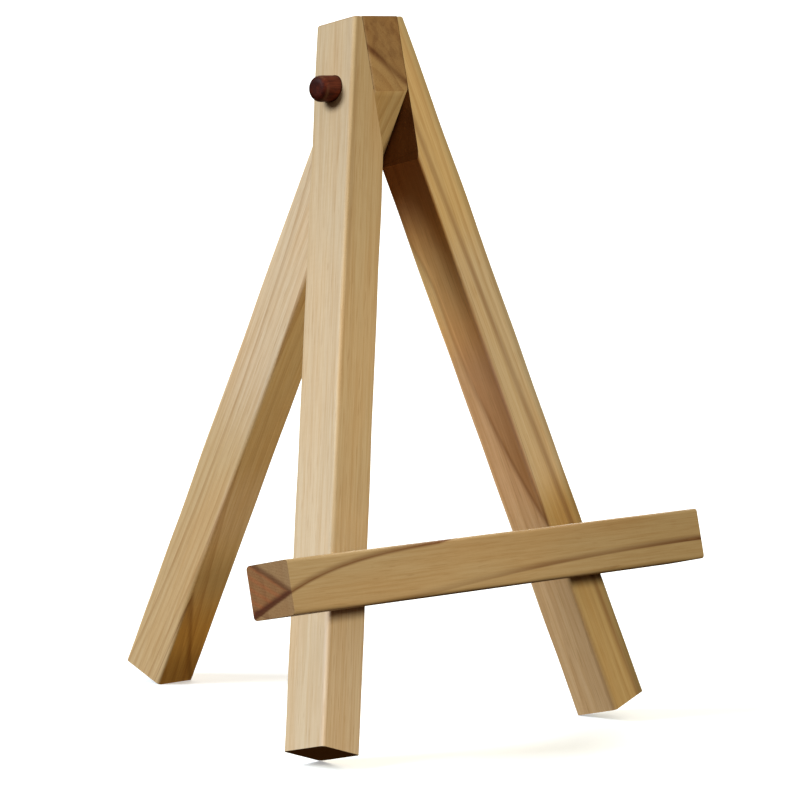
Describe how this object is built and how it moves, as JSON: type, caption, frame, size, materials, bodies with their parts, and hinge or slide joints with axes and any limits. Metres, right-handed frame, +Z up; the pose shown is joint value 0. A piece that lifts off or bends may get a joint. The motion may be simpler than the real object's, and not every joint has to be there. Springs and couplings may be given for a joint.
{
  "type": "small tripod display easel",
  "caption": "Small folding tripod easel of square pine sticks: splayed front legs with a ledge across them and a rear leg that swings on a dark dowel at the top.",
  "frame": {"origin": "on the surface the easel stands on, under the middle of its box", "axes": "+X along the ledge, to the right seen from the front; -Y is the front, where the picture stands; +Z up"},
  "size_m": [0.145, 0.1122, 0.1618],
  "materials": {
    "pine": "bare, finely sanded",
    "stained_dowel": "dark reddish-brown stain",
    "brad_steel": "bright wire"
  },
  "bodies": {
    "front_frame": {"front_leg_left": "pine", "front_leg_right": "pine", "ledge": "pine", "pivot_pin": "stained_dowel", "ledge_brads": "brad_steel"},
    "rear_leg": {"rear_leg": "pine"}
  },
  "joints": [
    {"name": "rear_leg_fold", "type": "hinge", "parent": "front_frame", "child": "rear_leg", "pos_m": [0, -0.00862, 0.14517], "axis": [-1, 0, 0], "range_deg": [-52.5, 37]}
  ]
}
